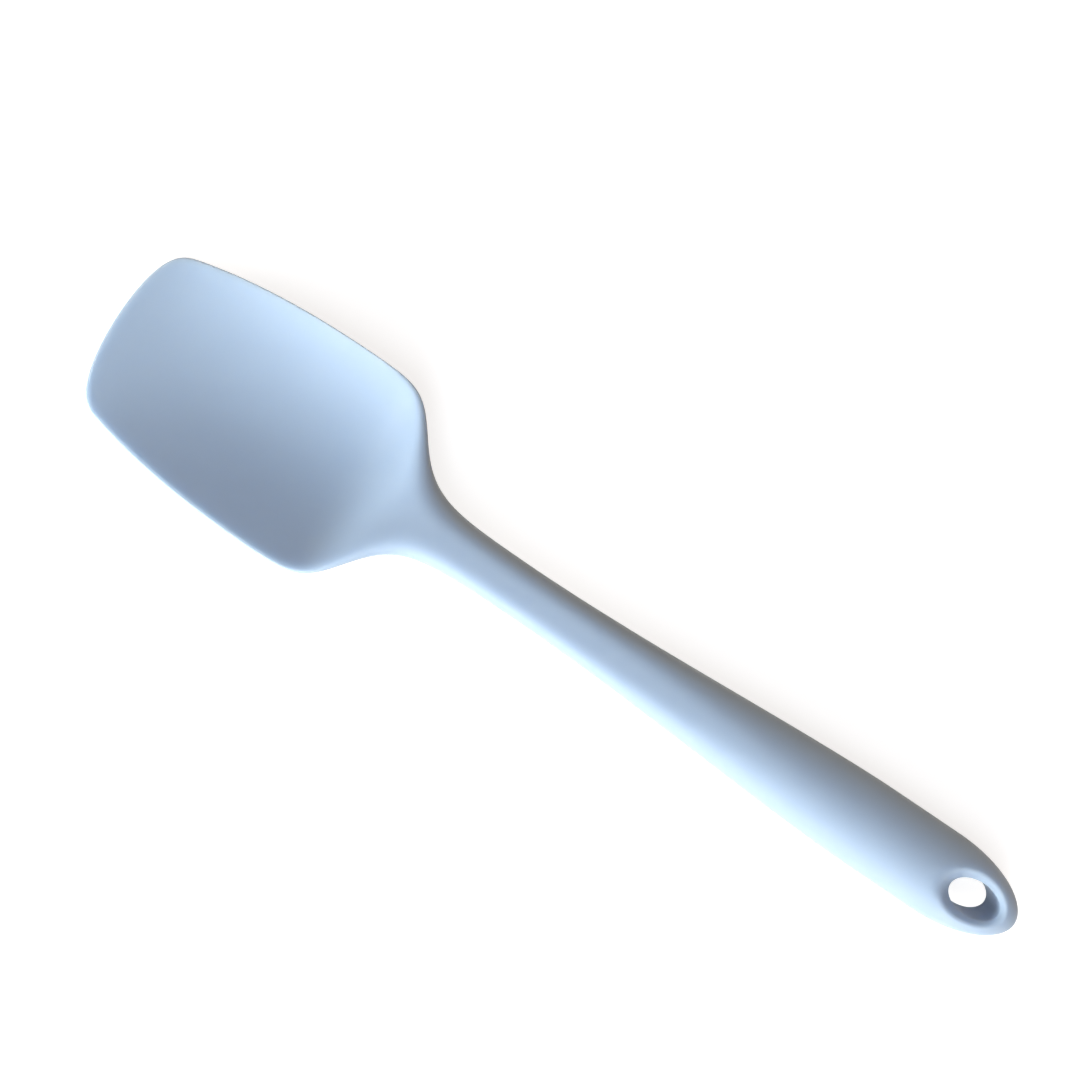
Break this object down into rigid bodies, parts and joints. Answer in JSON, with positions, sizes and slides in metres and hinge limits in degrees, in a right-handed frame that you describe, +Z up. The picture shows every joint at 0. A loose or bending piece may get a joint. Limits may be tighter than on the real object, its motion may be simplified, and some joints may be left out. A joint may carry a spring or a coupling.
{
  "type": "silicone spatula",
  "caption": "Seamless silicone scooping spatula: shallow dished blade with a squarish tip, slim neck, swelling handle with an oval hanging hole, and a stiff core inside.",
  "frame": {"origin": "middle of the spatula's length and width, on the surface that it lies on with the dish up", "axes": "+X from the handle's end towards the blade's tip, +Z up out of the dish"},
  "size_m": [0.28, 0.0592, 0.0172],
  "materials": {
    "silicone": "matte pale blue-grey silicone, smooth with a soft sheen",
    "nylon": "satin off-white glass-filled nylon"
  },
  "bodies": {
    "root": {"silicone_skin": "silicone", "nylon_core": "nylon"}
  },
  "joints": []
}
